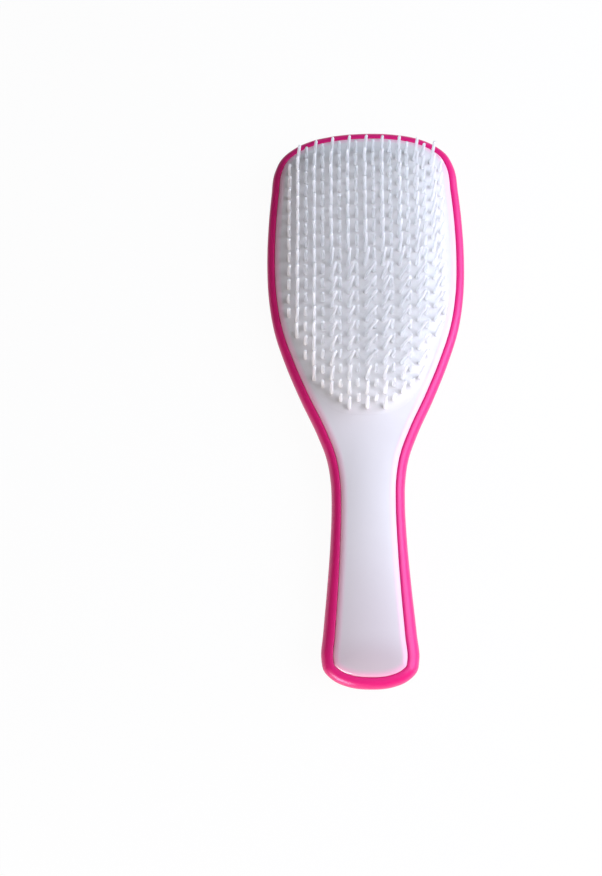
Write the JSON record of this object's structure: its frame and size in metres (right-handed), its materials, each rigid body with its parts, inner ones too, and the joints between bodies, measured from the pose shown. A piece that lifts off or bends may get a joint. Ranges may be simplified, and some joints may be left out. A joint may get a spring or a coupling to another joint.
{
  "type": "detangling brush",
  "caption": "Flat-headed hair detangling brush with a two-tier field of slender bristles, a white front plate and a glossy coloured back shell that forms the handle.",
  "frame": {"origin": "centre of the bounding box in X and Y, on the surface that the back rests on", "axes": "+Y from the handle towards the tip of the head, +Z the way the bristles point, +X across the brush"},
  "size_m": [0.08, 0.225, 0.0308],
  "materials": {
    "shell": "polished hot pink moulding",
    "plate": "smooth satin white with a faint lavender cast",
    "bristles": "translucent white flexible moulding"
  },
  "bodies": {
    "root": {"back_shell": "shell", "front_plate": "plate", "bristle_pad": "bristles"}
  },
  "joints": []
}
